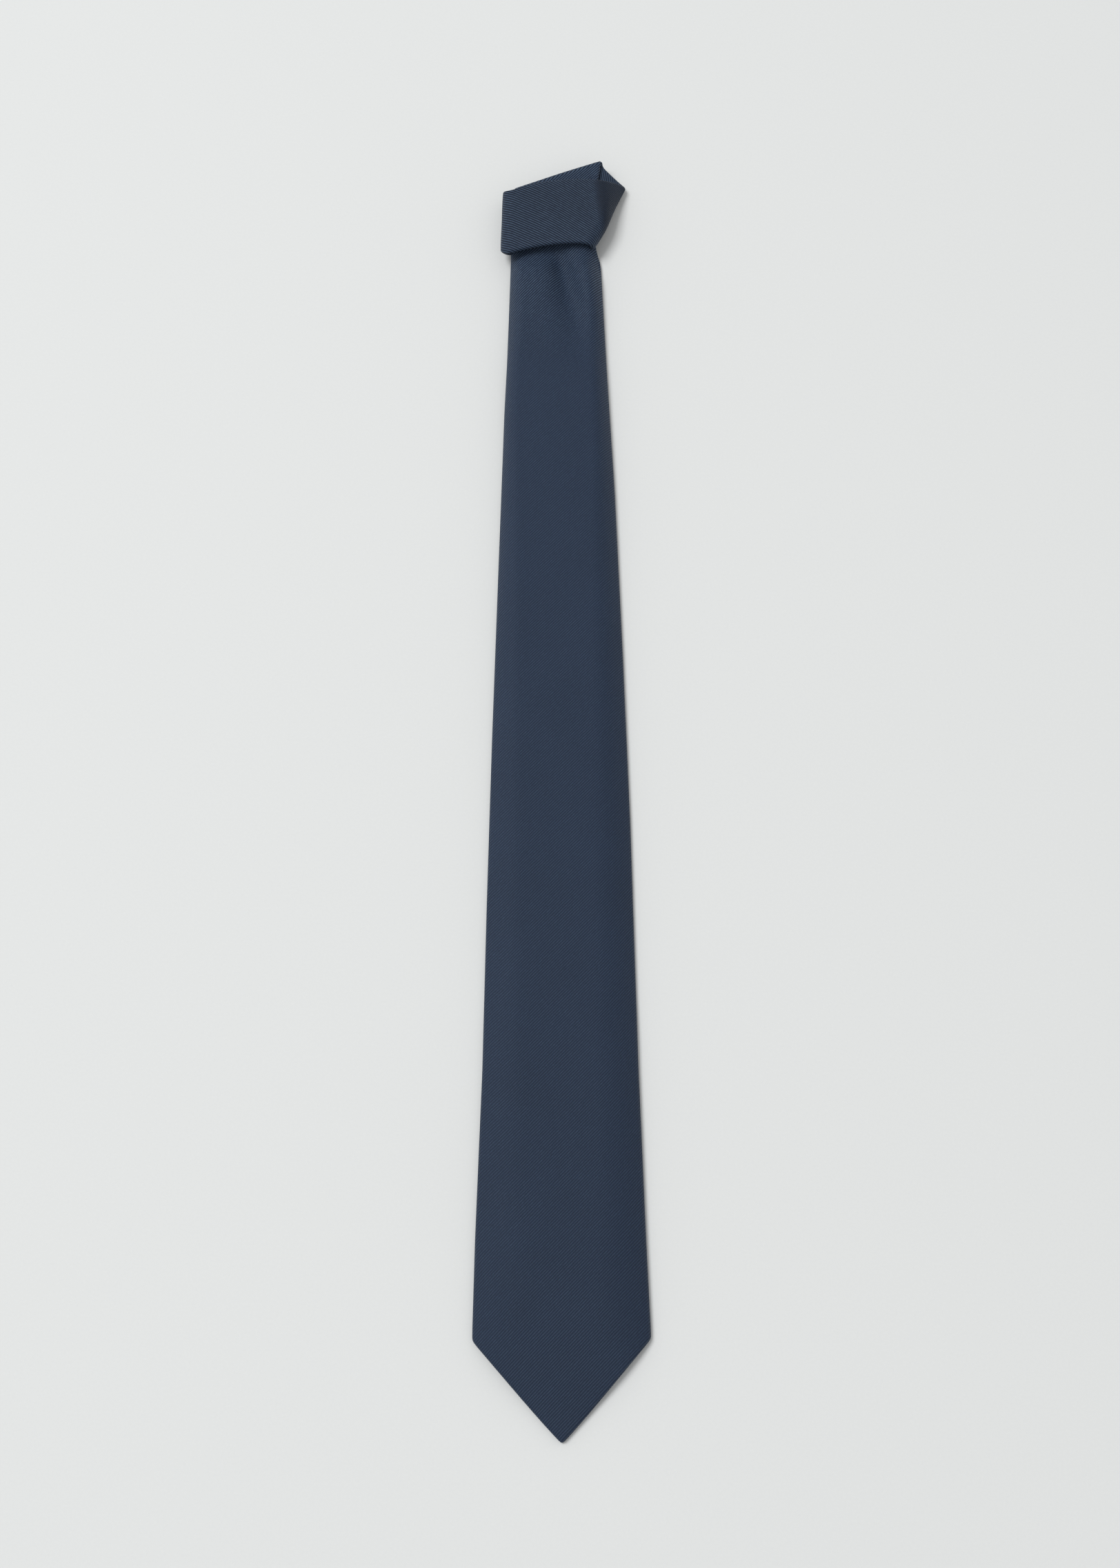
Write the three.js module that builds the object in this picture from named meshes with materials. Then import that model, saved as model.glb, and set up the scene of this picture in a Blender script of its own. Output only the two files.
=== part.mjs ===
// A necktie lying flat and face up, tied in a flattened wrap knot. Millimetres, +Z up.
// The blade's point is towards -Y, the knot towards +Y, and the origin is under the middle of the tie.
//
// The tie is one long flattened tube. Its pieces are drawn on a flat strip first:
//   u  along the tie, from the blade's point (0) to the tail's point (TIE_LENGTH)
//   v  across it, positive to the right of a blade that lies point down
//   n  through it, positive towards the face
// place() then lays the strip down, fold by fold, as the wrap does.

import * as THREE from 'three';

// ---- driving dimensions -------------------------------------------------------------------------

const TIE_LENGTH = 1480;
const BLADE_POINT = 38.5;          // height of the blade's pointed end
const TAIL_POINT = 22;
const BLUNT = 0.7;                 // half of the flat left at the very point, beside the rolled edges

// full width against u: blade, pinch under the knot, band of the knot, neck, tail
const WIDTHS = [
  [0, 0], [BLADE_POINT, 70], [200, 61.6], [325, 55.8], [440, 48.4], [516, 43.6], [527, 37], [566, 38.5],
  [602, 31.5], [627, 31.5], [677, 33.5], [800, 32], [1060, 32],
  [TIE_LENGTH - TAIL_POINT, 44], [TIE_LENGTH, 0],
];
// the wrap pulls the strip's middle off its centre line
const SIDE_SHIFTS = [
  [0, 0], [516, 0], [527, -1.4], [566, 1.2], [602, 3.5], [627, 3.5], [677, 3], [800, 11], [TIE_LENGTH, 11],
];

const WALL = 0.4;                  // shell cloth
const LINING = 0.3;                // tipping cloth
const INTERLINING = 0.8;
const INTERLINING_EDGE = 0.5;      // it stops this far short of where the rolled edges begin
const GAP = 0.3;                   // between pieces that touch
const THIN = 2 * (WALL + GAP) + INTERLINING;       // the tube where it holds interlining only
const THICK = THIN + LINING + GAP;                 // the tube where it holds tipping as well
const LAYER = 2.7;                 // height of one layer in the knot

const BLADE_TIPPING_END = 150;
const TAIL_TIPPING_START = TIE_LENGTH - 85;
const THICKNESSES = [
  [0, THICK], [BLADE_TIPPING_END + 5, THICK], [BLADE_TIPPING_END + 25, THIN],
  [TAIL_TIPPING_START - 25, THIN], [TAIL_TIPPING_START - 5, THICK], [TIE_LENGTH, THICK],
];

const FLAP = 9;                    // cloth turned in along the pointed ends
const SEAM_GAP = 0.5;              // half of the slit between the back flaps
const BLADE_TACK_AT = 112;         // where the back flaps meet
const TAIL_TACK_AT = TIE_LENGTH - 66;

const NECK_SEAM = 748;             // slanting seams between the three cut lengths of cloth
const TAIL_SEAM = 1062;

const HINGE_AT = 246;              // the crease that the blade folds over

// what is sewn to the back of the blade, with sizes along the tie and across it
const KEEPER = { at: 196, along: 13, across: 50, foot: 4, thick: 0.4, rise: 0.3 };
const MAKER_LABEL = { at: 162, along: 20, across: 40, thick: 0.3 };
const CARE_LABEL = { at: 220, along: 30, across: 20, thick: 0.25 };
const LABEL_STITCH_INSET = 2;      // from the label's end to its row of stitches

// rows and bars of thread
const ROW_THICK = 0.3;
const KEEPER_ROW_WIDTH = 0.8;
const LABEL_ROW_WIDTH = 0.6;
const TACK = { along: 1.6, across: 10, taper: 0.6, thick: 0.5 };
const SLIP_STITCH_MARGIN = 2.5;    // between a tack and the end of the slip stitch
const SLACK_LOOP = { length: 9, radius: 2.6, thick: 0.5, margin: 2, start: 1.2 };

// levels of the strip's middle above the surface that the tie lies on
const BOTTOM_LEVEL = THIN / 2;
const KNOT_BLADE_LEVEL = BOTTOM_LEVEL + 3 * LAYER;
const BLADE_LEVEL = 8.5;
const TAIL_UPPER_LEVEL = 4.75;
const TAIL_LOWER_LEVEL = THICK / 2;

// The layers under a run come and go along it, so it rises and falls: height against u, over the
// height that the knot alone would give it.
const POINT_LIFT = THICK / 2 - KNOT_BLADE_LEVEL;
const BLADE_LIFT = BLADE_LEVEL - KNOT_BLADE_LEVEL;
const TAIL_LIFT = TAIL_UPPER_LEVEL - BOTTOM_LEVEL;
const LIFTS = [
  [0, POINT_LIFT], [12, POINT_LIFT + 0.6], [50, BLADE_LIFT - 0.4], [60, BLADE_LIFT], [474, BLADE_LIFT],
  [528, 0], [830, 0], [890, TAIL_LIFT], [TIE_LENGTH, TAIL_LIFT],
];

// Directions of the strip's runs, in degrees from the X axis. The blade leans a little off the Y axis.
const BLADE_HEADING = 90.42;
const BACK_RUN_HEADING = -49;
const BAND_HEADING = 183;
const SECOND_BACK_RUN_HEADING = -6;
const TAIL_HEADING = -89.6;
const TAIL_END_HEADING = 90.4;
const TAIL_BEND_RADIUS = (TAIL_UPPER_LEVEL - TAIL_LOWER_LEVEL) / 2;

// A fold's visible edge passes through `edge`. side is -1 when the strip turns towards its back and
// +1 when it turns towards its face; span is how many layers of the knot it reaches across, and a fold
// outside the knot has its own radius.
const FOLDS = [
  { name: 'top', edge: [-2.6, 573], heading: BACK_RUN_HEADING, side: -1, span: 1 },
  { name: 'right', edge: [24.2, 551], heading: BAND_HEADING, side: -1, span: 2 },
  { name: 'left', edge: [-27.8, 549.5], heading: SECOND_BACK_RUN_HEADING, side: -1, span: 3 },
  { name: 'tail turn', edge: [-1.6, 545.6], heading: TAIL_HEADING, side: 1, span: 1 },
  { name: 'tail bottom', edge: [0, 46], heading: TAIL_END_HEADING, side: -1, radius: TAIL_BEND_RADIUS },
];

// stations lie square across the strip again this far from a slanting seam
const SEAM_REACH = 42;
const SQUARE_ACROSS = [NECK_SEAM + SEAM_REACH, TAIL_SEAM - SEAM_REACH, TAIL_SEAM + SEAM_REACH];
const BEND_STEPS = 6;
const ROLL_STEPS = 4;              // facets around each rolled edge

// ---- the strip and its folds --------------------------------------------------------------------

function lookup(table, at) {
  for (let i = 1; i < table.length; i++) {
    const [a, x] = table[i - 1];
    const [b, y] = table[i];
    if (at <= b) return x + (y - x) * Math.max(0, (at - a) / (b - a));
  }
  return table[table.length - 1][1];
}

const thickness = (u) => lookup(THICKNESSES, u);
const sideShift = (u) => lookup(SIDE_SHIFTS, u);
const lift = (u) => lookup(LIFTS, u);
const halfWidth = (u) => Math.max(lookup(WIDTHS, u) / 2, thickness(u) / 2 + BLUNT);

const radians = THREE.MathUtils.degToRad;
const heading2 = (degrees) => new THREE.Vector3(Math.cos(radians(degrees)), Math.sin(radians(degrees)), 0);

// Each panel is a flat run of the strip: a point (u, v, n) on it lies at origin + along*u + across*v + out*n.
function panelPoint(panel, u, v, n) {
  return panel.origin.clone()
    .addScaledVector(panel.along, u)
    .addScaledVector(panel.across, v)
    .addScaledVector(panel.out, n);
}

function layFolds() {
  const along = heading2(BLADE_HEADING);
  const across = heading2(BLADE_HEADING - 90);
  const out = new THREE.Vector3(0, 0, 1);
  let panel = { origin: new THREE.Vector3(0, 0, KNOT_BLADE_LEVEL), along, across, out };
  const panels = [panel];
  const bends = [];
  for (const fold of FOLDS) {
    const radius = fold.radius ?? (fold.span * LAYER) / 2;
    const next = heading2(fold.heading);
    // the crease bisects the two headings, and points square to it lead out over the fold's edge
    const outward = panel.along.clone().sub(next).normalize();
    const crease = new THREE.Vector3(-outward.y, outward.x, 0);
    const edge = new THREE.Vector3(fold.edge[0], fold.edge[1], panel.origin.z);
    const start = edge.addScaledVector(outward, -(radius + THIN / 2));
    const squareU = panel.along.dot(outward);
    const squareV = panel.across.dot(outward);
    const u = start.clone().sub(panel.origin).dot(outward) / squareU;
    bends.push({ u, squareU, squareV, radius, side: fold.side, outward });

    const turned = (vector) => crease.clone().multiplyScalar(2 * vector.dot(crease)).sub(vector);
    const folded = {
      origin: new THREE.Vector3(),
      along: turned(panel.along),
      across: turned(panel.across),
      out: panel.out.clone().negate(),
    };
    // where the bend starts at the strip's middle, carried round it to the next layer
    const landing = panelPoint(panel, u, 0, fold.side * 2 * radius);
    const bent = Math.PI * radius;
    folded.origin = landing.sub(panelPoint(folded, u + bent * squareU, bent * squareV, 0));
    panels.push(folded);
    panel = folded;
  }
  return { panels, bends };
}

const { panels, bends } = layFolds();

function placeFlat(run, u, v, n) {
  const point = panelPoint(panels[run], u, v, n);
  point.z += lift(u);
  return point;
}

function place(u, v, n) {
  for (let run = 0; run < bends.length; run++) {
    const bend = bends[run];
    const past = (u - bend.u) * bend.squareU + v * bend.squareV;
    if (past < 0) return placeFlat(run, u, v, n);
    if (past > Math.PI * bend.radius) continue;
    const turn = past / bend.radius;
    const reach = bend.radius - bend.side * n;
    const atBend = [u - past * bend.squareU, v - past * bend.squareV];
    const point = panelPoint(panels[run], ...atBend, bend.side * bend.radius);
    point.addScaledVector(bend.outward, reach * Math.sin(turn));
    point.addScaledVector(panels[run].out, -bend.side * reach * Math.cos(turn));
    point.z += lift(u);
    return point;
  }
  return placeFlat(bends.length, u, v, n);
}

// ---- solids swept along the strip ---------------------------------------------------------------

// Stations are lines across the strip, u + slant*v. They lie along every crease, and ease between them.
function stations(from, to, fromSlant = 0, toSlant = 0) {
  const fixed = [{ u: from, slant: fromSlant }];
  for (const bend of bends) {
    for (let step = 0; step <= BEND_STEPS; step++) {
      const square = (Math.PI * bend.radius * step) / BEND_STEPS;
      const u = bend.u + square / bend.squareU;
      if (u > from && u < to) fixed.push({ u, slant: -bend.squareV / bend.squareU });
    }
  }
  for (const u of SQUARE_ACROSS) if (u > from && u < to) fixed.push({ u, slant: 0 });
  fixed.push({ u: to, slant: toSlant });
  fixed.sort((a, b) => a.u - b.u);
  const marks = new Set([BLADE_TACK_AT, TAIL_TACK_AT]);
  for (const table of [WIDTHS, SIDE_SHIFTS, THICKNESSES, LIFTS]) for (const [u] of table) marks.add(u);
  const all = [...fixed];
  for (const u of marks) {
    for (let i = 1; i < fixed.length; i++) {
      const a = fixed[i - 1];
      const b = fixed[i];
      if (u > a.u + 4 && u < b.u - 4) {
        all.push({ u, slant: THREE.MathUtils.mapLinear(u, a.u, b.u, a.slant, b.slant) });
      }
    }
  }
  return all.sort((a, b) => a.u - b.u);
}

function closedGeometry(vertices, triangles) {
  const geometry = new THREE.BufferGeometry();
  const positions = vertices.flatMap((point) => point.toArray());
  geometry.setAttribute('position', new THREE.Float32BufferAttribute(positions, 3));
  let volume = 0;
  for (const [a, b, c] of triangles) volume += vertices[a].dot(vertices[b].clone().cross(vertices[c]));
  const facing = volume < 0 ? triangles.map(([a, b, c]) => [a, c, b]) : triangles;
  geometry.setIndex(facing.flat());
  geometry.computeVertexNormals();
  return geometry;
}

// section(u) gives the outline [v, n] of the piece at u, always with the same number of corners. On a
// slanting station each corner has a u of its own, so it is found again there.
function slantedOutline(section, { u, slant }) {
  return section(u).map((corner, i) => {
    const nearer = section(u + slant * corner[0])[i];
    return section(u + slant * nearer[0])[i];
  });
}

function sweep(lines, section) {
  const outlines = lines.map((line) => slantedOutline(section, line));
  const count = outlines[0].length;
  const vertices = [];
  lines.forEach(({ u, slant }, row) => {
    for (const [v, n] of outlines[row]) vertices.push(place(u + slant * v, v, n));
  });
  const triangles = [];
  for (let row = 1; row < lines.length; row++) {
    for (let i = 0; i < count; i++) {
      const a = (row - 1) * count + i;
      const b = (row - 1) * count + ((i + 1) % count);
      triangles.push([a, b, b + count], [a, b + count, a + count]);
    }
  }
  const last = (lines.length - 1) * count;
  const flat = (outline) => outline.map(([v, n]) => new THREE.Vector2(v, n));
  const cap = (row) => THREE.ShapeUtils.triangulateShape(flat(outlines[row]), []);
  for (const [a, b, c] of cap(0)) triangles.push([a, c, b]);
  for (const [a, b, c] of cap(lines.length - 1)) triangles.push([last + a, last + b, last + c]);
  return closedGeometry(vertices, triangles);
}

function arc(centre, radius, fromDegrees, toDegrees) {
  const points = [];
  for (let step = 0; step <= ROLL_STEPS; step++) {
    const angle = radians(fromDegrees + ((toDegrees - fromDegrees) * step) / ROLL_STEPS);
    points.push([centre + radius * Math.cos(angle), radius * Math.sin(angle)]);
  }
  return points;
}

// half of the opening between the back flaps, which spread apart towards a pointed end
function flapOpening(u, tackAt, shoulderAt) {
  const inner = halfWidth(u) - thickness(u) / 2;
  const widest = halfWidth(shoulderAt) - thickness(shoulderAt) / 2 - FLAP;
  const spread = widest * Math.max(0, (u - tackAt) / (shoulderAt - tackAt));
  return Math.max(SEAM_GAP, Math.min(inner - FLAP, spread));
}

function backOpening(u) {
  return u < TIE_LENGTH / 2
    ? flapOpening(u, BLADE_TACK_AT, BLADE_POINT)
    : flapOpening(u, TAIL_TACK_AT, TIE_LENGTH - TAIL_POINT);
}

// shell cloth: face, both rolled edges, and two flaps that nearly meet down the middle of the back
function shellSection(u) {
  const half = halfWidth(u);
  const thick = thickness(u);
  const shift = sideShift(u);
  const open = backOpening(u);
  const roll = half - thick / 2;
  const outer = thick / 2;
  const inner = outer - WALL;
  const outline = [
    [open, -outer], ...arc(roll, outer, -90, 90), ...arc(-roll, outer, 90, 270), [-open, -outer],
    [-open, -inner], ...arc(-roll, inner, 270, 90), ...arc(roll, inner, 90, -90), [open, -inner],
  ];
  return outline.map(([v, n]) => [v + shift, n]);
}

function boxSection(left, right, low, high) {
  return [[left, low], [right, low], [right, high], [left, high]];
}

function interliningSection(u) {
  const half = halfWidth(u) - thickness(u) / 2 - INTERLINING_EDGE;
  const top = thickness(u) / 2 - WALL - GAP;
  return boxSection(sideShift(u) - half, sideShift(u) + half, top - INTERLINING, top);
}

function tippingSection(u) {
  const half = halfWidth(u) - thickness(u) / 2;
  const shift = sideShift(u);
  const low = -thickness(u) / 2 + WALL + GAP;
  return boxSection(shift - half, shift + half, low, low + LINING);
}

function threadSection(u) {
  const low = -thickness(u) / 2;
  const shift = sideShift(u);
  return boxSection(shift - SEAM_GAP + GAP, shift + SEAM_GAP - GAP, low, low + WALL);
}

// two stations square across the tie, `along` apart
const squareEnds = (at, along) => [{ u: at - along / 2, slant: 0 }, { u: at + along / 2, slant: 0 }];

// A flat patch on the back of the tie: `out` is how far its inner face stands off the cloth.
function backPatch(at, along, middle, across, out, thick) {
  const section = (u) => {
    const top = -thickness(u) / 2 - out;
    return boxSection(middle - across / 2, middle + across / 2, top - thick, top);
  };
  return sweep(squareEnds(at, along), section);
}

// ---- materials ----------------------------------------------------------------------------------

const cloth = (color, roughness) => new THREE.MeshStandardMaterial({ color, roughness, metalness: 0 });
const SHELL_CLOTH = cloth(0x384253, 0.62);
const TIPPING_CLOTH = cloth(0x1c2534, 0.5);
const INTERLINING_CLOTH = cloth(0xd9d4c6, 0.95);
const LABEL_CLOTH = cloth(0xc9c7c0, 0.6);
const THREAD = cloth(0x2a3446, 0.7);

// ---- pieces -------------------------------------------------------------------------------------

const tie = new THREE.Group();

function add(name, geometry, material) {
  const mesh = new THREE.Mesh(geometry, material);
  mesh.name = name;
  tie.add(mesh);
}

const SEAM_SLANT = 1;
const HALF_GAP = GAP / 2;

function shells() {
  add('blade_shell_lower', sweep(stations(0, HINGE_AT - HALF_GAP), shellSection), SHELL_CLOTH);
  add('blade_shell_upper',
    sweep(stations(HINGE_AT + HALF_GAP, NECK_SEAM - GAP, 0, SEAM_SLANT), shellSection), SHELL_CLOTH);
  add('neck_shell',
    sweep(stations(NECK_SEAM + GAP, TAIL_SEAM - GAP, SEAM_SLANT, SEAM_SLANT), shellSection), SHELL_CLOTH);
  add('tail_shell', sweep(stations(TAIL_SEAM + GAP, TIE_LENGTH, SEAM_SLANT, 0), shellSection), SHELL_CLOTH);
}

const INTERLINING_MARGIN = 3;      // it stops short of each point
const TAIL_END = TIE_LENGTH - INTERLINING_MARGIN;

function interlinings() {
  const joint = (NECK_SEAM + TAIL_SEAM) / 2;
  add('blade_interlining_lower',
    sweep(stations(INTERLINING_MARGIN, HINGE_AT - HALF_GAP), interliningSection), INTERLINING_CLOTH);
  add('blade_interlining_upper',
    sweep(stations(HINGE_AT + HALF_GAP, joint - HALF_GAP), interliningSection), INTERLINING_CLOTH);
  add('tail_interlining',
    sweep(stations(joint + HALF_GAP, TAIL_END), interliningSection), INTERLINING_CLOTH);
}

function tippings() {
  add('blade_tipping', sweep(stations(INTERLINING_MARGIN, BLADE_TIPPING_END), tippingSection), TIPPING_CLOTH);
  add('tail_tipping', sweep(stations(TAIL_TIPPING_START, TAIL_END), tippingSection), TIPPING_CLOTH);
}

// The keeper is a flat loop: its two ends lie on the back, and the span between stands off them.
function keeper() {
  const { at, along, across, foot, thick, rise } = KEEPER;
  const end = across / 2;
  const footEnd = end - foot;
  const spanEnd = footEnd - 1;
  const low = -thickness(at) / 2 - GAP;
  const outline = [
    [end, low], [footEnd, low], [spanEnd, low - rise], [-spanEnd, low - rise], [-footEnd, low], [-end, low],
    [-end, low - thick], [-footEnd, low - thick], [-spanEnd, low - thick - rise],
    [spanEnd, low - thick - rise], [footEnd, low - thick], [end, low - thick],
  ];
  add('keeper_loop', sweep(squareEnds(at, along), () => outline), SHELL_CLOTH);
  const stitch = (side) =>
    backPatch(at, along - 2, side * (end - foot / 2), KEEPER_ROW_WIDTH, 2 * GAP + thick, ROW_THICK);
  add('keeper_stitch_left', stitch(-1), THREAD);
  add('keeper_stitch_right', stitch(1), THREAD);
}

function label(name, { at, along, across, thick }) {
  add(name, backPatch(at, along, 0, across, GAP, thick), LABEL_CLOTH);
}

function labels() {
  label('maker_label', MAKER_LABEL);
  const { at, along, across, thick } = MAKER_LABEL;
  const middle = across / 2 - LABEL_STITCH_INSET;
  const stitch = (side) =>
    backPatch(at, along - 3, side * middle, LABEL_ROW_WIDTH, 2 * GAP + thick, ROW_THICK);
  add('maker_label_stitch_left', stitch(-1), THREAD);
  add('maker_label_stitch_right', stitch(1), THREAD);
  label('care_label', CARE_LABEL);
}

// A bar tack is a short thick bar of thread across the flaps where they meet.
function barTack(name, at) {
  const { along, across, taper, thick } = TACK;
  const left = sideShift(at) - across / 2;
  const right = sideShift(at) + across / 2;
  const low = -thickness(at) / 2 - GAP;
  const outline = [[left, low], [left + taper, low - thick], [right - taper, low - thick], [right, low]];
  add(name, sweep(squareEnds(at, along), () => outline), THREAD);
}

// One long thread closes the back from tack to tack, and ends in a loop of slack thread.
function seamThread() {
  const start = BLADE_TACK_AT + SLIP_STITCH_MARGIN;
  const end = TAIL_TACK_AT - SLIP_STITCH_MARGIN;
  add('slip_stitch_lower', sweep(stations(start, HINGE_AT - HALF_GAP), threadSection), THREAD);
  add('slip_stitch_upper', sweep(stations(HINGE_AT + HALF_GAP, end), threadSection), THREAD);
}

function slackLoop() {
  const { length, radius, thick, margin, start } = SLACK_LOOP;
  const top = BLADE_TACK_AT - margin;
  const steps = 8;
  const path = [[top, start]];
  for (let step = 0; step <= steps; step++) {
    const angle = (Math.PI * step) / steps;
    path.push([top - length - radius * Math.sin(angle), radius * Math.cos(angle)]);
  }
  path.push([top, -start]);
  const vertices = [];
  path.forEach(([u, v], i) => {
    const before = path[Math.max(0, i - 1)];
    const after = path[Math.min(path.length - 1, i + 1)];
    const run = new THREE.Vector2(after[0] - before[0], after[1] - before[1]).normalize();
    for (const [side, depth] of [[-1, 0], [1, 0], [1, -thick], [-1, -thick]]) {
      const offset = (side * thick) / 2;
      vertices.push(place(u - run.y * offset, v + run.x * offset, depth - thickness(u) / 2 - GAP));
    }
  });
  const triangles = [];
  for (let row = 1; row < path.length; row++) {
    for (let i = 0; i < 4; i++) {
      const a = (row - 1) * 4 + i;
      const b = (row - 1) * 4 + ((i + 1) % 4);
      triangles.push([a, b, b + 4], [a, b + 4, a + 4]);
    }
  }
  const last = (path.length - 1) * 4;
  triangles.push([0, 2, 1], [0, 3, 2], [last, last + 1, last + 2], [last, last + 2, last + 3]);
  add('slack_thread_loop', closedGeometry(vertices, triangles), THREAD);
}

shells();
interlinings();
tippings();
keeper();
labels();
barTack('blade_bar_tack', BLADE_TACK_AT);
barTack('tail_bar_tack', TAIL_TACK_AT);
seamThread();
slackLoop();

// the origin goes to the middle of the tie, on the surface it lies on
const bounds = new THREE.Box3().setFromObject(tie);
const middle = bounds.getCenter(new THREE.Vector3());
tie.position.set(-middle.x, -middle.y, -bounds.min.z);
tie.updateMatrixWorld(true);

export default tie;
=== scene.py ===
"""A necktie tied in a flattened wrap knot and laid face up: its cloth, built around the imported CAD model.

Each length of cloth is drawn on a flat strip and laid down fold by fold, as in the CAD source:
    u  along the tie, from the blade's point (0) to the tail's point (TIE_LENGTH)
    v  across it, positive to the right of a blade that lies point down
    n  through it, positive towards the face
The strip is measured in millimetres. Blender's objects are in metres.
"""

import math
from collections import namedtuple

import bpy
import numpy as np
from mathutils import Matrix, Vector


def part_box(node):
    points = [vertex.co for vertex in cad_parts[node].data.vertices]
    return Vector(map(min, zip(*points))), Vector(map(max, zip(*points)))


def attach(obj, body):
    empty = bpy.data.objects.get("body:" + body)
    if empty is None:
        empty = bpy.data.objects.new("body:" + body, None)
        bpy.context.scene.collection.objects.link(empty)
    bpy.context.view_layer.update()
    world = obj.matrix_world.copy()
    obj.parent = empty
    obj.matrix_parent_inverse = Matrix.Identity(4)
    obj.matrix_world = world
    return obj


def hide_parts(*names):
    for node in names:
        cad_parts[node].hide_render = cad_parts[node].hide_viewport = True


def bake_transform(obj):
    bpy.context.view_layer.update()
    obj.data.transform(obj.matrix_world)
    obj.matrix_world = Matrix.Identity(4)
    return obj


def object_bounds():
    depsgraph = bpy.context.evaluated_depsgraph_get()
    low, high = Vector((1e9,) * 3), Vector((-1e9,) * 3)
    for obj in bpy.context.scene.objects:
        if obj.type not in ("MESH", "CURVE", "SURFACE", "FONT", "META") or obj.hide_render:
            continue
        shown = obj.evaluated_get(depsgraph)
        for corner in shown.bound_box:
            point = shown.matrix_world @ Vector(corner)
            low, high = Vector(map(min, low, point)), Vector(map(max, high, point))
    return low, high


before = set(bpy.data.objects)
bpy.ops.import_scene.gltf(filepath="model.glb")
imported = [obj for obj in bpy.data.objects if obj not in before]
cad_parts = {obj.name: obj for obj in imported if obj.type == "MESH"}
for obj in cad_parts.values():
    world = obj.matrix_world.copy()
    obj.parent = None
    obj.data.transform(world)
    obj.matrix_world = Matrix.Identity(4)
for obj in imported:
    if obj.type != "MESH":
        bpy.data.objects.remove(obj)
CAD_BOX = [list(corner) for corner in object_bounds()]
MM = 0.001

# ---- the strip, as in the CAD source ------------------------------------------------------------

TIE_LENGTH = 1480
BLADE_POINT = 38.5                 # height of the blade's pointed end
TAIL_POINT = 22
NECK_SEAM = 748                    # slanting seams between the three cut lengths
TAIL_SEAM = 1062
BLADE_TACK_AT = 112                # the back flaps meet here
TAIL_TACK_AT = TIE_LENGTH - 66
BLADE_TIPPING_END = 150
TAIL_TIPPING_START = TIE_LENGTH - 85
HINGE_AT = 246                     # the blade folds over here
KEEPER_AT = 196
MAKER_LABEL_AT = 162
CARE_LABEL_AT = 220

WALL = 0.4                         # shell cloth
LINING = 0.3
INTERLINING = 0.8
THIN = 2.2                         # the folded tube where it holds interlining only
THICK = 2.8                        # and where it holds tipping as well
LAYER = 2.7                        # height of one layer in the knot
FLAP = 9                           # cloth turned in along the pointed ends
SEAM_GAP = 0.22                    # half of the slit between the back flaps

BOTTOM_LEVEL = THIN / 2
KNOT_BLADE_LEVEL = BOTTOM_LEVEL + 3 * LAYER
BLADE_LEVEL = 8.5
TAIL_UPPER_LEVEL = 4.75
TAIL_LOWER_LEVEL = THICK / 2

# tables against u: how thick the folded tube is, where its two edges lie, and how far the layers
# under a run lift it over the height that the knot alone would give it
THICKNESSES = [
    (0, THICK), (BLADE_TIPPING_END + 5, THICK), (BLADE_TIPPING_END + 25, THIN),
    (TAIL_TIPPING_START - 25, THIN), (TAIL_TIPPING_START - 5, THICK), (TIE_LENGTH, THICK),
]
LEFT_EDGE = [
    (0, -35), (40, -34.9), (76, -34), (143, -31.4), (213, -29.9), (287, -27.9), (365, -25.4), (447, -22.7),
    (470, -21.6), (512, -20.2), (528, -19.8), (566, -18.1), (602, -12.2), (612, -13.6), (653, -13.8),
    (662, -14.0), (677, -10.4), (800, -5), (1060, -5), (1458, -11), (TIE_LENGTH, -11),
]
RIGHT_EDGE = [
    (0, 35.2), (40, 35.2), (76, 34), (143, 32.3), (250, 30.8), (325, 29), (405, 26.7), (468, 24.0),
    (516, 22.3), (524, 21.9), (530, 20), (536, 19.2), (548, 20.4), (566, 20.5), (576, 22.4), (592, 21.6),
    (602, 19.9), (614, 20.8), (648, 20.8), (658, 18.5), (677, 17.5), (800, 27), (1060, 27), (1458, 33),
    (TIE_LENGTH, 33),
]
POINT_LIFT = THICK / 2 - KNOT_BLADE_LEVEL
BLADE_LIFT = BLADE_LEVEL - KNOT_BLADE_LEVEL
TAIL_LIFT = TAIL_UPPER_LEVEL - BOTTOM_LEVEL
LIFTS = [
    (0, POINT_LIFT), (12, POINT_LIFT + 0.6), (50, BLADE_LIFT - 0.4), (60, BLADE_LIFT), (474, BLADE_LIFT),
    (528, 0), (830, 0), (890, TAIL_LIFT), (TIE_LENGTH, TAIL_LIFT),
]

BLADE_HEADING = 90.42              # in degrees from the X axis
# where each fold's visible edge lies, the way the strip runs after it, which way it turns (-1 towards
# its back), and how many layers of the knot it reaches across
Fold = namedtuple("Fold", "edge heading side span")
FOLDS = [
    Fold((-2.6, 573), -49, -1, 1),
    Fold((24.2, 551), 183, -1, 2),
    Fold((-27.8, 549.5), -6, -1, 3),
    Fold((-1.6, 545.6), -89.6, 1, 1),
    Fold((0, 46), 90.4, -1, (TAIL_UPPER_LEVEL - TAIL_LOWER_LEVEL) / LAYER),
]
TOP_FOLD, RIGHT_FOLD, LEFT_FOLD = 0, 1, 2
BAND_RUN = 2                       # the flat run between the right fold and the left one

Panel = namedtuple("Panel", "origin along across out")
Bend = namedtuple("Bend", "u square_u square_v radius side outward")


def heading(degrees):
    return np.array([math.cos(math.radians(degrees)), math.sin(math.radians(degrees)), 0.0])


def panel_point(panel, u, v, n):
    return panel.origin + np.multiply.outer(u, panel.along) + np.multiply.outer(v, panel.across) \
        + np.multiply.outer(n, panel.out)


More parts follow.
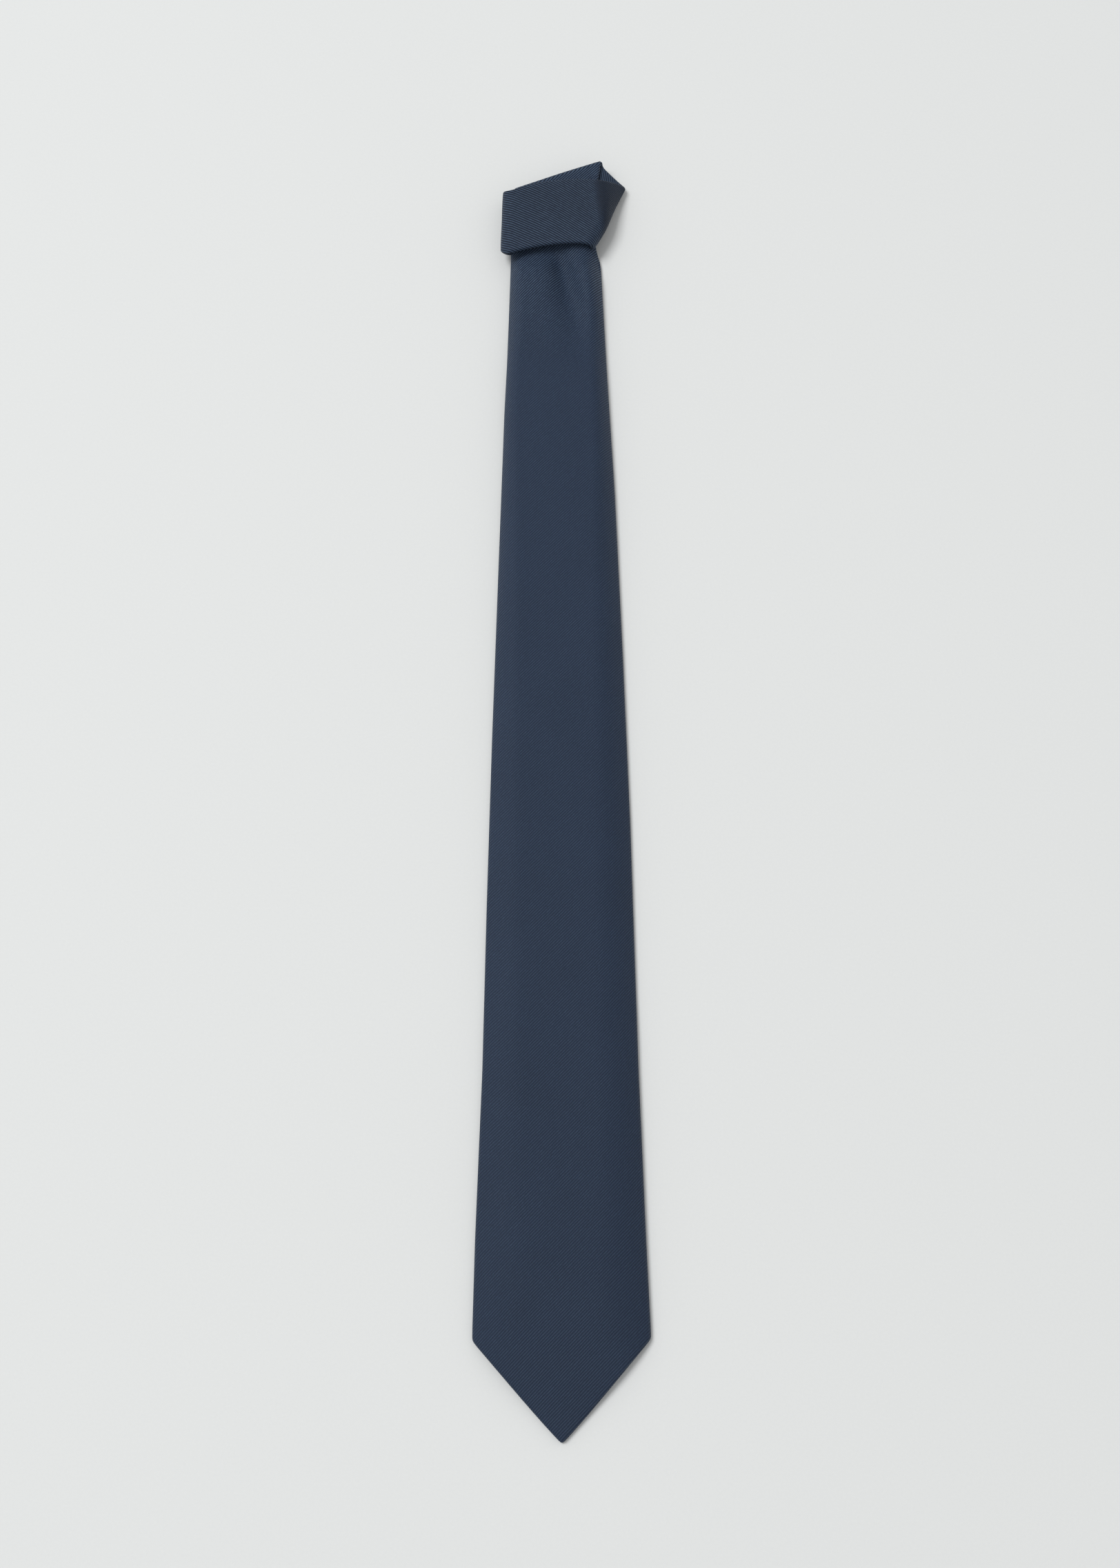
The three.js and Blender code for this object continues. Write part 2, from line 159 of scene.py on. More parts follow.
def lay_folds():
    """The flat runs of the strip and the bends between them."""
    panel = Panel(np.array([0, 0, KNOT_BLADE_LEVEL]), heading(BLADE_HEADING), heading(BLADE_HEADING - 90),
                  np.array([0, 0, 1.0]))
    panels, bends = [panel], []
    for fold in FOLDS:
        radius = fold.span * LAYER / 2
        outward = panel.along - heading(fold.heading)
        outward /= np.linalg.norm(outward)
        crease = np.array([-outward[1], outward[0], 0])
        start = np.array([*fold.edge, panel.origin[2]]) - outward * (radius + THIN / 2)
        square_u, square_v = panel.along @ outward, panel.across @ outward
        u = (start - panel.origin) @ outward / square_u
        bends.append(Bend(u, square_u, square_v, radius, fold.side, outward))
        turned = [2 * (way @ crease) * crease - way for way in (panel.along, panel.across)]
        folded = Panel(np.zeros(3), *turned, -panel.out)
        landing = panel_point(panel, u, 0, fold.side * 2 * radius)
        bent = math.pi * radius
        panel = folded._replace(origin=landing - panel_point(folded, u + bent * square_u, bent * square_v, 0))
        panels.append(panel)
    return panels, bends


PANELS, BENDS = lay_folds()


def smooth(points, blur):
    """A lookup of value against u that rounds off the corners of its table over blur millimetres."""
    grid = np.arange(-blur, TIE_LENGTH + blur + 1.0)
    at, value = zip(*points)
    kernel = np.hanning(2 * blur + 1)
    eased = np.convolve(np.interp(grid, at, value), kernel / kernel.sum(), "valid")
    return lambda u: np.interp(u, grid[blur:-blur], eased)


thickness = smooth(THICKNESSES, 6)
left_side = smooth(LEFT_EDGE, 5)
right_side = smooth(RIGHT_EDGE, 5)
lift = smooth(LIFTS, 12)


def ease(x):
    x = np.clip(x, 0, 1)
    return x * x * (3 - 2 * x)


def window(x, start, rise, end, fall):
    """1 between start + rise and end - fall, easing to 0 at start and at end."""
    return ease((x - start) / rise) * ease((end - x) / fall)


def bump(x):
    return np.exp(-x * x)


# ---- how the cloth gives ------------------------------------------------------------------------

# the blade lies on the tail this far either side of its middle, and its sides droop past that
SUPPORT = smooth([(0, 14), (60, 14), (330, 16), (440, 17), (465, 16.5), (490, 14), (TIE_LENGTH, 14)], 6)
SAG_SLOPE = 1.1                    # how steeply
SAG_END = 538                      # the knot holds the blade flat here
FLOOR_CLEARANCE = 0.3

TAIL_SAG = 2.4                     # where the tail lies on its own end, its sides droop
TAIL_SUPPORT = 14.5                # past this far from its middle,
TAIL_SAG_REACH = 7                 # over this width

BAND_EDGE_AT = 531                 # the blade comes out from under the band here
DIMPLE_REACH = 72                  # how far the dimple runs on from there
UNDER_BAND = 14                    # how far it runs back under the band
DIMPLE_DEPTH = 5.0
TUCK_DEPTH = 3.2                   # the blade is drawn down where it goes under the band

BAND_RISE = 2.75                   # the band arches: how far its middle rises over its straight line,
BAND_MIDDLE = 3.5                  # where that is,
BAND_ARCH = 0.0049                 # and how fast it falls away to both sides
RIGHT_FOLD_SWELL = 1.7             # the band's right end swells out near its lower corner
RIGHT_FOLD_MIDDLE = 538
CORNER_DROOP = 0.45                # the band's right corner is pressed down by this share of its height
CORNER_FALL = 2.2                  # and by this much more
SLIDE = 0.36                       # cloth that droops slides this much of its fall towards the knot
TOP_FOLD_DROP = 2.6                # the top fold is pulled down tight against the band
BLADE_TOP = 560                    # the blade's face ends here, inside the knot
KNOT_END = 700                     # the strip has left the knot here


def room_below(u):
    """How far the strip can sink before it lies on the floor."""
    return np.maximum(KNOT_BLADE_LEVEL + lift(u) - thickness(u) / 2 - FLOOR_CLEARANCE, 0)


def sag(u, v):
    """How far the blade's sides hang below its middle."""
    side = np.where(v < 0, -left_side(u), right_side(u))
    reach = np.maximum(side - SUPPORT(u), 1)
    past = np.clip((np.abs(v) - SUPPORT(u)) / reach, 0, 1)
    depth = np.minimum(SAG_SLOPE * reach, room_below(u)) * ease((SAG_END - u) / 20)
    return depth * past ** 2


def tail_sag(u, v):
    off_middle = np.abs(v - (left_side(u) + right_side(u)) / 2)
    raised = window(u, TAIL_SEAM + 10, 60, BENDS[-1].u, 15)
    return TAIL_SAG * np.clip((off_middle - TAIL_SUPPORT) / TAIL_SAG_REACH, 0, 1) ** 2 * raised


def dimple(u, v):
    """The hollow pressed into the blade under the band, and the ridges it raises beside it."""
    below = BAND_EDGE_AT - u
    fade = window(below, -UNDER_BAND, 12, DIMPLE_REACH, 60)
    from_edge = np.clip(below, 0, 60)
    middle = 2 + 0.2 * from_edge
    half = 4.6 + 0.07 * from_edge
    depth = 0.6 + DIMPLE_DEPTH * ease(below / 14)
    hollow = -depth * bump((v - middle) / half)
    ridges = 0.7 * bump((v - middle - 9) / 4.5) + 0.6 * bump((v - middle + 13) / 6)
    tuck = -TUCK_DEPTH * bump((below - 4) / 8) * ease((UNDER_BAND + below) / 12)
    return (hollow + ridges) * fade + tuck


def ripple(u, v):
    """Slow unevenness of hand-folded cloth."""
    return 0.10 * np.sin(u / 17.3 + v / 23.0) * np.sin(u / 41.0 - v / 13.7 + 1.3) \
        + 0.06 * np.sin(u / 9.1 + 0.7 * v / 11.0 + 0.4) * np.sin(v / 8.7 + 2.0)


def fold_down(u, v, n):
    """Where the strip's points lie once it is folded, and how far each of them is in the band."""
    point = np.zeros(u.shape + (3,))
    in_band = np.zeros(u.shape)
    waiting = np.ones(u.shape, bool)
    for run, bend in enumerate(BENDS):
        past = (u - bend.u) * bend.square_u + v * bend.square_v
        flat = waiting & (past < 0)
        point[flat] = panel_point(PANELS[run], u[flat], v[flat], n[flat])
        in_band[flat] = run == BAND_RUN
        waiting &= ~flat
        turning = waiting & (past <= math.pi * bend.radius)
        back = past[turning]
        turn = back / bend.radius
        reach = bend.radius - bend.side * n[turning]
        foot = panel_point(PANELS[run], u[turning] - back * bend.square_u, v[turning] - back * bend.square_v,
                           np.full(back.shape, bend.side * bend.radius))
        point[turning] = foot + np.multiply.outer(reach * np.sin(turn), bend.outward) \
            - np.multiply.outer(bend.side * reach * np.cos(turn), PANELS[run].out)
        if run == RIGHT_FOLD:
            in_band[turning] = ease(turn / (math.pi / 2))
        if run == LEFT_FOLD:
            in_band[turning] = ease((math.pi - turn) / (math.pi / 2))
        waiting &= ~turning
    point[waiting] = panel_point(PANELS[-1], u[waiting], v[waiting], n[waiting])
    point[..., 2] += lift(u)
    return point, in_band


def settle(point, in_band, u, v, n):
    """Moves the folded points to where soft cloth comes to rest."""
    x, y, z = (point[..., axis] for axis in range(3))
    y -= TOP_FOLD_DROP * window(u, 530, 25, 600, 20)
    droop = (CORNER_DROOP * z + CORNER_FALL) * ease((x - 18) / 14) * ease((y - 522) / 14) * (u < KNOT_END)
    z -= droop
    y += SLIDE * droop
    give = np.where(u < BLADE_TOP, np.maximum(dimple(u, v) - sag(u, v), -room_below(u)), 0) - tail_sag(u, v)
    z += give
    y -= SLIDE * give * ease((u - 50) / 70)
    # behind the left fold the strip is pulled up, so that the fold's lower corner closes
    left_fold = BENDS[LEFT_FOLD]
    fallen = np.clip(KNOT_BLADE_LEVEL + LAYER + n - z, 0, 3 * LAYER)
    behind = (u - left_fold.u) * left_fold.square_u + v * left_fold.square_v > 0
    y += np.where(behind & (u < KNOT_END), SLIDE * fallen * ease((KNOT_END - u) / 35), 0)
    y += in_band * (BAND_RISE - BAND_ARCH * (x - BAND_MIDDLE) ** 2)
    swells = (in_band > 0) | ((u > 590) & (u < 620))
    swell = RIGHT_FOLD_SWELL * bump((y - RIGHT_FOLD_MIDDLE) / 13) * ease((x - 6) / 16)
    x += np.where(swells, swell, 0)


def place(u, v, n):
    """Where the strip's points lie on the finished tie, in millimetres in the frame."""
    u, v, n = np.broadcast_arrays(np.asarray(u, float), np.asarray(v, float), np.asarray(n, float))
    point, in_band = fold_down(u, v, n)
    settle(point, in_band, u, v, n)
    return point + SHIFT


# the strip's own axis passes through the middle of the blade's widest part
LOWER_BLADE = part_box("blade_shell_lower")
AXIS_LEAN = BLADE_POINT * math.cos(math.radians(BLADE_HEADING))
SHIFT = np.array([(LOWER_BLADE[0].x + LOWER_BLADE[1].x) / 2 / MM - AXIS_LEAN, LOWER_BLADE[0].y / MM, 0])

# ---- sections of the strip ----------------------------------------------------------------------

BLADE_HALF = 35.1                  # half widths where the pointed ends begin
TAIL_HALF = 22
POINT_CURVE = 0.96                 # the pointed ends' sides swell out a little
POINT_NOSE = 1.2                   # radius of the very point
NOSE_END = 0.39                    # the nose meets the sides this far from the point,
NOSE_HALF = 0.53                   # and is this far from the middle there
ROUND_SHOULDER = 0.5

Corner = namedtuple("Corner", "u side depth length")


def corner(fold, side, depth, length):
    """A corner of the knot, where an edge of the strip goes round a fold and tucks in, or stands out."""
    bend = BENDS[fold]
    u = bend.u
    for _ in range(4):
        v = right_side(u) if side > 0 else left_side(u)
        u = bend.u + (math.pi * bend.radius / 2 - v * bend.square_v) / bend.square_u
    return Corner(u, side, depth, length)


CORNERS = [
    corner(TOP_FOLD, 1, -1.0, 2.0),
    corner(RIGHT_FOLD, -1, -1.2, 4.5), corner(RIGHT_FOLD, 1, -1.7, 6.0),
    corner(LEFT_FOLD, -1, 2.8, 3.2), corner(LEFT_FOLD, 1, -3.0, 4.5),
]


def point_limit(distance, height, half):
    """Half width at a distance from a point that is height long and half wide either side."""
    nose = np.sqrt(np.maximum(2 * POINT_NOSE * distance - distance ** 2, 0))
    side = NOSE_HALF + (half - NOSE_HALF) * np.maximum(distance / height, 0) ** POINT_CURVE
    return np.where(distance < NOSE_END, nose, side)


def soft_min(a, b):
    """The lesser of the two, rounded off where they are nearly equal."""
    return -ROUND_SHOULDER * np.logaddexp(-a / ROUND_SHOULDER, -b / ROUND_SHOULDER)


def edges(u):
    """The strip's left and right edges at u."""
    middle = (left_side(u) + right_side(u)) / 2
    blade = point_limit(u, BLADE_POINT, BLADE_HALF)
    tail = point_limit(TIE_LENGTH - u, TAIL_POINT, TAIL_HALF)
    limit = np.where(u < TIE_LENGTH / 2, blade, tail)
    low_limit = np.where(u < TIE_LENGTH / 2, 0, middle)
    tuck_left = sum(c.depth * bump((u - c.u) / c.length) for c in CORNERS if c.side < 0)
    tuck_right = sum(c.depth * bump((u - c.u) / c.length) for c in CORNERS if c.side > 0)
    left = low_limit - soft_min(low_limit - left_side(u) - tuck_left, limit)
    right = low_limit + soft_min(right_side(u) - tuck_right - low_limit, limit)
    tiny = 1e-4
    return np.minimum(left, low_limit - tiny), np.maximum(right, low_limit + tiny)


def back_opening(u):
    """Half of the opening between the back flaps, which spread apart towards a pointed end."""
    blade = u < TIE_LENGTH / 2
    tack = np.where(blade, BLADE_TACK_AT, TAIL_TACK_AT)
    shoulder = np.where(blade, BLADE_POINT, TIE_LENGTH - TAIL_POINT)
    left, right = edges(u)
    inner = (right - left) / 2 - thickness(u) / 2
    shoulder_left, shoulder_right = edges(shoulder.astype(float))
    widest = (shoulder_right - shoulder_left) / 2 - THICK / 2 - FLAP
    spread = widest * np.maximum(0, (u - tack) / (shoulder - tack))
    return np.maximum(SEAM_GAP, np.minimum(inner - FLAP, spread))


FACE_CELLS, ROLL_CELLS, BACK_CELLS = 36, 8, 10
KNOT_CROWN, BLADE_CROWN = 0.15, 0.45
FLAP_CURL = 0.35                   # the flaps' edges lift off the back


def crown(u):
    """How far the face swells over the interlining: little where layers press on each other."""
    return KNOT_CROWN + (BLADE_CROWN - KNOT_CROWN) * ease((500 - u) / 60)


def rolls(u):
    """The radius of the rolled edges, and where they begin to the left and right."""
    left, right = edges(u)
    radius = np.minimum(thickness(u) / 2, (right - left) * 0.49)
    return radius, left + radius, right - radius


def face_height(u, v):
    """Height of the cloth's outer face over the strip's middle."""
    radius, roll_left, roll_right = rolls(u)
    across = np.clip((v - roll_left) / (roll_right - roll_left), 0, 1)
    fullness = np.minimum(1, (roll_right - roll_left) / 20)
    swell = crown(u) * (1 - (2 * across - 1) ** 4) + ripple(u, v) * np.sin(math.pi * across)
    return radius + swell * fullness


def shell_section(u):
    """The outline of the folded cloth at each u: v, n, and w, the distance round it from the middle."""
    u = u[:, None]
    radius, roll_left, roll_right = rolls(u)
    middle = (roll_left + roll_right) / 2
    opening = np.minimum(back_opening(u), (roll_right - roll_left) / 2)
    face_v = roll_left + (roll_right - roll_left) * np.linspace(0, 1, FACE_CELLS + 1)[None]
    face_n = face_height(u, face_v)
    turn = np.linspace(0, math.pi, ROLL_CELLS + 1)[None, 1:]
    roll_v, roll_n, roll_w = radius * np.sin(turn), radius * np.cos(turn), radius * turn
    inward = np.linspace(0, 1, BACK_CELLS + 1)[None, 1:]
    curl = FLAP_CURL * ease((inward - 0.88) / 0.12) * np.minimum(1, radius)
    back_right = roll_right + (middle + opening - roll_right) * inward
    back_left = roll_left + (middle - opening - roll_left) * inward
    back_n = -radius + curl
    v = np.concatenate([back_left[:, ::-1], (roll_left - roll_v)[:, ::-1], face_v, roll_right + roll_v,
                        back_right], 1)
    n = np.concatenate([back_n[:, ::-1], roll_n[:, ::-1], face_n, roll_n, back_n], 1)
    end_w = math.pi * radius
    w = np.concatenate([(roll_left - end_w - (back_left - roll_left))[:, ::-1],
                        (roll_left - roll_w)[:, ::-1], face_v, roll_right + roll_w,
                        roll_right + end_w + (roll_right - back_right)], 1)
    return v, n, w


# ---- rows along the strip -----------------------------------------------------------------------

COARSE, MEDIUM, FINE = 4.0, 1.6, 0.6
CREASE_REACH = 10                  # rows are fine this far from the crease,
DIMPLE_ROWS = (460, 620)           # and middling here
HALF_STRIP = 18                    # half of the strip's width in the knot
NOSE_ROWS = (0.03, 0.12, 0.28, 0.5, 0.9, 1.5, 2.4, 3.6)        # from each point
SHOULDER_ROWS = (-1, -0.4, 0, 0.5, 1.2)                        # from the blade's shoulders


def row_spacing(u):
    near_fold = min(
        max(bend.u - u, u - bend.u - math.pi * bend.radius / abs(bend.square_u))
        - abs(bend.square_v / bend.square_u) * HALF_STRIP
        for bend in BENDS
    )
    if near_fold < 1 or abs(u - HINGE_AT) < CREASE_REACH:
        return FINE
    return MEDIUM if near_fold < 10 or DIMPLE_ROWS[0] < u < DIMPLE_ROWS[1] else COARSE


def rows(start, end):
    """Stations along the strip, close together round each fold and at each point."""
    found = [start]
    if start == 0:
        found += NOSE_ROWS
    while found[-1] < end - 1e-6:
        found.append(min(end, found[-1] + row_spacing(found[-1])))
    if end == TIE_LENGTH:
        found = [u for u in found if u < end - NOSE_ROWS[-1]]
        found += [end - nose for nose in reversed(NOSE_ROWS)] + [end]
    if start == 0:
        found = sorted(set(found) | {BLADE_POINT + offset for offset in SHOULDER_ROWS})
    return np.array(found)


SEAM_EASE = 42                     # the rows turn from square to the seams' slant over this length


def slant(u, seams):
    """How far the row at u leans, from 0 where it is square to 1 along a seam."""
    return sum(ease(1 - abs(u - seam) / SEAM_EASE) for seam in seams)


# ---- meshes -------------------------------------------------------------------------------------

def new_mesh(name, points, faces, uvs=None):
    """A mesh object from points in millimetres. uvs holds one pair in millimetres for each point."""
    mesh = bpy.data.meshes.new(name)
    mesh.from_pydata((np.asarray(points) * MM).tolist(), [], [list(map(int, face)) for face in faces])
    if uvs is not None:
        layer = mesh.uv_layers.new(name="cloth")
        at = np.zeros(len(mesh.loops), np.int32)
        mesh.loops.foreach_get("vertex_index", at)
        layer.data.foreach_set("uv", (np.asarray(uvs)[at] * MM).astype(np.float32).ravel())
    mesh.polygons.foreach_set("use_smooth", [True] * len(mesh.polygons))
    mesh.validate()
    mesh.update()
    piece = bpy.data.objects.new(name, mesh)
    bpy.context.scene.collection.objects.link(piece)
    return piece


def grid_faces(row_count, column_count):
    at = np.arange(row_count * column_count).reshape(row_count, column_count)
    corners = [at[:-1, :-1], at[:-1, 1:], at[1:, 1:], at[1:, :-1]]
    return np.stack([c.ravel() for c in corners], 1)


def apply_modifier(piece, kind, **settings):
    modifier = piece.modifiers.new(kind.title(), kind)
    for key, value in settings.items():
        setattr(modifier, key, value)
    bpy.context.view_layer.objects.active = piece
    bpy.ops.object.modifier_apply(modifier=modifier.name)


def shell(name, start, end, seams):
    """A length of the folded cloth tube, its ends cut along the seams."""
    u = rows(start, end)
    v, n, w = shell_section(u)
    along = u[:, None] + slant(u, seams)[:, None] * v
    points = place(along, v, n).reshape(-1, 3)
    uvs = np.stack([fabric(along), w], -1).reshape(-1, 2)
    piece = new_mesh(name, points, grid_faces(*v.shape), uvs)
    apply_modifier(piece, "SOLIDIFY", thickness=WALL * MM, offset=-1, use_even_offset=False)
    return piece


def slab(name, along, across, top, bottom):
    """A closed sheet between two heights over one grid of the strip."""
    over = place(along, across, top).reshape(-1, 3)
    under = place(along, across, bottom).reshape(-1, 3)
    row_count, column_count = along.shape
    at = np.arange(along.size).reshape(along.shape)
    faces = grid_faces(row_count, column_count)
    rim = np.concatenate([at[0, :-1], at[:-1, -1], at[-1, :0:-1], at[:0:-1, 0]])
    walls = np.stack([rim, rim + along.size, np.roll(rim, -1) + along.size, np.roll(rim, -1)], 1)
    uvs = np.tile(np.stack([fabric(along), across], -1).reshape(-1, 2), (2, 1))
    return new_mesh(name, np.concatenate([over, under]),
                    np.concatenate([faces, faces[:, ::-1] + along.size, walls]), uvs)


def tube(name, paths, radius, sides=6):
    """Thread along each path of points, in millimetres, with its ends closed."""
    points, faces, uvs = [], [], []
    for path in paths:
        path = np.asarray(path, float)
        ways = np.gradient(path, axis=0)
        ways /= np.linalg.norm(ways, axis=1, keepdims=True)
        side = np.cross(ways, [0, 0, 1.0])
        side /= np.maximum(np.linalg.norm(side, axis=1, keepdims=True), 1e-9)
        up = np.cross(side, ways)
        run = np.concatenate([[0], np.cumsum(np.linalg.norm(np.diff(path, axis=0), axis=1))])
        first = len(points)
        for k, centre in enumerate(path):
            for step in range(sides):
                turn = math.tau * step / sides
                points.append(centre + radius * (math.cos(turn) * side[k] + math.sin(turn) * up[k]))
                uvs.append((run[k], radius * turn))
        for k in range(len(path) - 1):
            for step in range(sides):
                a = first + k * sides + step
                b = first + k * sides + (step + 1) % sides
                faces.append((a, b, b + sides, a + sides))
        faces.append(tuple(range(first + sides - 1, first - 1, -1)))
        last = first + (len(path) - 1) * sides
        faces.append(tuple(range(last, last + sides)))
    return new_mesh(name, points, faces, uvs)


# the bias-cut cloth stretches where the knot pulls it: cloth per millimetre of strip
STRETCH = smooth([(0, 1), (470, 1), (505, 0.93), (560, 1), (596, 1), (608, 0.86), (618, 0.80), (628, 0.79),
                  (645, 0.75), (652, 0.82), (660, 0.86), (675, 0.95), (690, 1), (TIE_LENGTH, 1)], 4)
FABRIC_GRID = np.arange(TIE_LENGTH + 1.0)
FABRIC_LENGTH = np.concatenate([[0], np.cumsum((STRETCH(FABRIC_GRID[1:]) + STRETCH(FABRIC_GRID[:-1])) / 2)])


def fabric(u):
    return np.interp(u, FABRIC_GRID, FABRIC_LENGTH)


# ---- materials ----------------------------------------------------------------------------------

RIB_PITCH = 0.92                   # millimetres of cloth from rib to rib
FLOAT_LENGTH = 0.55                # and from float to float along a rib
MID_LIGHT = 0.36                   # a rib's lightness where its contrast makes no difference


class Nodes:
    """Short ways to add shader nodes to one material."""

    def __init__(self, name):
        self.material = bpy.data.materials.new(name)
        self.material.use_nodes = True
        self.tree = self.material.node_tree
        self.shader = self.tree.nodes["Principled BSDF"]

    def link(self, source, socket):
        if isinstance(source, (int, float)):
            socket.default_value = source
        else:
            self.tree.links.new(source, socket)

    def math(self, operation, a, b=0.0, c=0.0, clamp=False):
        node = self.tree.nodes.new("ShaderNodeMath")
        node.operation = operation
        node.use_clamp = clamp
        for value, socket in zip((a, b, c), node.inputs):
            self.link(value, socket)
        return node.outputs[0]

    def ramp(self, x, start, length):
        """0 at start and 1 after length more, and held at 0 and 1 outside them."""
        return self.math("MULTIPLY_ADD", x, 1 / length, -start / length, clamp=True)

    def wave(self, turn):
        """A cosine between 0 and 1."""
        return self.math("MULTIPLY_ADD", self.math("COSINE", turn), 0.5, 0.5)

    def noise(self, x, y, scale, detail=2.0, roughness=0.5):
        vector = self.tree.nodes.new("ShaderNodeCombineXYZ")
        self.link(x, vector.inputs[0])
        self.link(y, vector.inputs[1])
        node = self.tree.nodes.new("ShaderNodeTexNoise")
        node.inputs["Scale"].default_value = scale
        node.inputs["Detail"].default_value = detail
        node.inputs["Roughness"].default_value = roughness
        self.tree.links.new(vector.outputs[0], node.inputs["Vector"])
        return node.outputs["Fac"]

    def cloth_coordinates(self):
        """Distances along and across the cloth, in millimetres."""
        uv = self.tree.nodes.new("ShaderNodeUVMap")
        uv.uv_map = "cloth"
        split = self.tree.nodes.new("ShaderNodeSeparateXYZ")
        self.tree.links.new(uv.outputs[0], split.inputs[0])
        return self.math("DIVIDE", split.outputs[0], MM), self.math("DIVIDE", split.outputs[1], MM)

    def colour_ramp(self, factor, stops):
        node = self.tree.nodes.new("ShaderNodeValToRGB")
        ramp = node.color_ramp
        while len(ramp.elements) < len(stops):
            ramp.elements.new(0.5)
        for element, (position, colour) in zip(ramp.elements, stops):
            element.position = position
            element.color = (*colour, 1)
        self.link(factor, node.inputs[0])
        return node.outputs[0]

    def scaled_colour(self, colour, factor):
        node = self.tree.nodes.new("ShaderNodeVectorMath")
        node.operation = "SCALE"
        self.tree.links.new(colour, node.inputs[0])
        self.link(factor, node.inputs["Scale"])
        return node.outputs[0]

    def surface(self, colour, roughness, height, distance, sheen=0.0, specular=0.5):
        bump_node = self.tree.nodes.new("ShaderNodeBump")
        bump_node.inputs["Distance"].default_value = distance
        self.link(height, bump_node.inputs["Height"])
        self.tree.links.new(bump_node.outputs[0], self.shader.inputs["Normal"])
        self.link(colour, self.shader.inputs["Base Color"])
        self.link(roughness, self.shader.inputs["Roughness"])
        self.shader.inputs["Specular IOR Level"].default_value = specular
        self.shader.inputs["Sheen Weight"].default_value = sheen
        self.shader.inputs["Sheen Roughness"].default_value = 0.4
        self.shader.inputs["Sheen Tint"].default_value = (0.75, 0.85, 1.0, 1)
        return self.material


def rib_pattern(nodes, along, across):
    """Ribs at 45 degrees, each a row of short floats: the two waves, and how light the cloth is."""
    over = nodes.math("MULTIPLY", nodes.math("SUBTRACT", along, across), math.sqrt(0.5) / RIB_PITCH)
    down = nodes.math("MULTIPLY", nodes.math("ADD", along, across), math.sqrt(0.5))
    wander = nodes.noise(nodes.math("MULTIPLY", over, 0.5), nodes.math("MULTIPLY", down, 0.12), 1.0, 3.0)
    phase = nodes.math("ADD", over, nodes.math("MULTIPLY", nodes.math("SUBTRACT", wander, 0.5), 0.25))
    which = nodes.math("ROUND", phase)
    rib = nodes.wave(nodes.math("MULTIPLY", phase, math.tau))
    stagger = nodes.math("MULTIPLY", which, math.pi * 0.66)
    floats = nodes.wave(nodes.math("MULTIPLY_ADD", down, math.tau / FLOAT_LENGTH, stagger))
    uneven = nodes.noise(nodes.math("MULTIPLY", which, 7.3), nodes.math("MULTIPLY", down, 0.5), 1.0, 3.0, 0.6)
    crest = nodes.math("POWER", rib, 1.35)
    crest = nodes.math("MULTIPLY", crest, nodes.math("MULTIPLY_ADD", floats, 0.3, 0.7))
    crest = nodes.math("MULTIPLY", crest, nodes.math("MULTIPLY_ADD", uneven, 1.1, 0.45))
    return rib, floats, crest


def ribbed_cloth(name):
    """Navy cloth with fine raised ribs."""
    nodes = Nodes(name)
    along, across = nodes.cloth_coordinates()
    rib, floats, crest = rib_pattern(nodes, along, across)

    # the ribs stand out where the knot pulls the cloth, and less down the blade;
    # where the band turns over the right fold they are crushed flat, and there the cloth is also painted
    # darker as shade, for that end turning away from the light
    opened = nodes.ramp(along, 470, 50)
    crushed_and_painted_shade = nodes.math("MULTIPLY", nodes.ramp(along, float(fabric(616.5)), -2.5),
                         nodes.ramp(along, float(fabric(596)), 2.5))
    contrast = nodes.math("MULTIPLY_ADD", opened, 0.66, 0.39)
    contrast = nodes.math("MULTIPLY", contrast, nodes.math("MULTIPLY_ADD", crushed_and_painted_shade, -0.95, 1.0))
    from_middle = nodes.math("SUBTRACT", crest, MID_LIGHT)
    light = nodes.math("MULTIPLY_ADD", from_middle, contrast, MID_LIGHT, clamp=True)
    colour = nodes.colour_ramp(light, [
        (0.0, (0.0055, 0.0105, 0.0235)), (0.5, (0.0200, 0.0340, 0.0635)), (1.0, (0.0570, 0.0900, 0.1400)),
    ])

    # the cloth is a little darker towards the blade's point, and in the knot
    in_knot = nodes.ramp(along, 582, 25)
    upward = nodes.ramp(along, 0, 450)
    cloudy = nodes.noise(along, across, 0.035, 3.0)
    fuzz = nodes.noise(along, across, 1.3, 3.0, 0.7)
    gain = nodes.math("MULTIPLY_ADD", upward, 0.18, 0.65)
    # the mask over the band's right end also darkens the cloth there: painted shade, not a change in the
    # cloth
    for cause, amount in ((in_knot, -0.27), (crushed_and_painted_shade, -0.44), (cloudy, 0.24), (fuzz, 0.8)):
        gain = nodes.math("MULTIPLY_ADD", cause, amount, gain)

    height = nodes.math("MULTIPLY", rib, 0.75)
    height = nodes.math("MULTIPLY_ADD", nodes.math("MULTIPLY", floats, rib), 0.25, height)
    roughness = nodes.math("MULTIPLY_ADD", rib, -0.16, 0.72)
    tinted = nodes.scaled_colour(colour, gain)
    return nodes.surface(tinted, roughness, height, 0.00016, sheen=0.08, specular=0.22)


